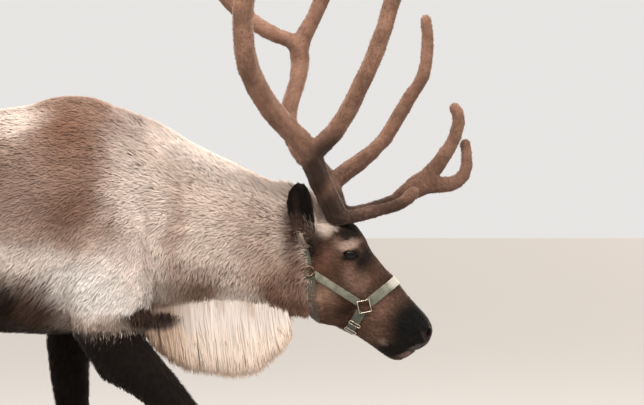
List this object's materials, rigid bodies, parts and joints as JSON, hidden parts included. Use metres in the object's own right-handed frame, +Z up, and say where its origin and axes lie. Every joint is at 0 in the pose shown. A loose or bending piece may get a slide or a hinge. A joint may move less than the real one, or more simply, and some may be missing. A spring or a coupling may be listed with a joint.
{
  "type": "reindeer bull",
  "caption": "Standing reindeer bull in velvet with lowered head, split hooves, throat mane and a webbing halter.",
  "frame": {"origin": "on the floor, under the middle of the whole animal's bounding box", "axes": "+X towards the nose, +Y to the animal's left, +Z up; the soles are flat on z = 0"},
  "size_m": [1.94, 0.6742, 1.7024],
  "materials": {
    "coat_body": "dense cream and fawn summer coat, browner over the shoulder",
    "coat_head": "short brown hair, black at the muzzle and round the eye",
    "coat_white": "long off-white hair",
    "coat_legs": "short near-black brown hair, grizzled at the top",
    "velvet": "short brown velvet, paler at its rim",
    "hoof_horn": "dark horn with fine rings",
    "eye": "wet dark eye",
    "halter_webbing": "faded grey-green woven webbing",
    "halter_metal": "worn pale nickel plate"
  },
  "bodies": {
    "root": {"torso": "coat_body", "neck": "coat_body", "throat_mane": "coat_white", "tail": "coat_white", "head": "coat_head", "ear_left": "coat_head", "ear_right": "coat_head", "eye_left": "eye", "eye_right": "eye", "foreleg_left_upper": "coat_legs", "foreleg_left_lower": "coat_legs", "foreleg_right_upper": "coat_legs", "foreleg_right_lower": "coat_legs", "hindleg_left_upper": "coat_legs", "hindleg_left_lower": "coat_legs", "hindleg_right_upper": "coat_legs", "hindleg_right_lower": "coat_legs", "hoof_foreleg_left_inner": "hoof_horn", "hoof_foreleg_left_outer": "hoof_horn", "hoof_foreleg_right_inner": "hoof_horn", "hoof_foreleg_right_outer": "hoof_horn", "hoof_hindleg_left_inner": "hoof_horn", "hoof_hindleg_left_outer": "hoof_horn", "hoof_hindleg_right_inner": "hoof_horn", "hoof_hindleg_right_outer": "hoof_horn", "dewclaw_foreleg_left_inner": "hoof_horn", "dewclaw_foreleg_left_outer": "hoof_horn", "dewclaw_foreleg_right_inner": "hoof_horn", "dewclaw_foreleg_right_outer": "hoof_horn", "dewclaw_hindleg_left_inner": "hoof_horn", "dewclaw_hindleg_left_outer": "hoof_horn", "dewclaw_hindleg_right_inner": "hoof_horn", "dewclaw_hindleg_right_outer": "hoof_horn", "antler_right_base": "velvet", "antler_right_beam": "velvet", "antler_right_bez": "velvet", "antler_right_brow": "velvet", "antler_right_rear": "velvet", "antler_right_crown": "velvet", "antler_left_base": "velvet", "antler_left_beam": "velvet", "antler_left_bez": "velvet", "antler_left_brow": "velvet", "antler_left_rear": "velvet", "antler_left_crown": "velvet", "halter_noseband": "halter_webbing", "halter_chinstrap": "halter_webbing", "halter_cheek_left": "halter_webbing", "halter_cheek_right": "halter_webbing", "halter_crown": "halter_webbing", "halter_throat": "halter_webbing", "halter_ring_left": "halter_metal", "halter_ring_right": "halter_metal", "halter_square_left": "halter_metal", "halter_square_right": "halter_metal"}
  },
  "joints": []
}
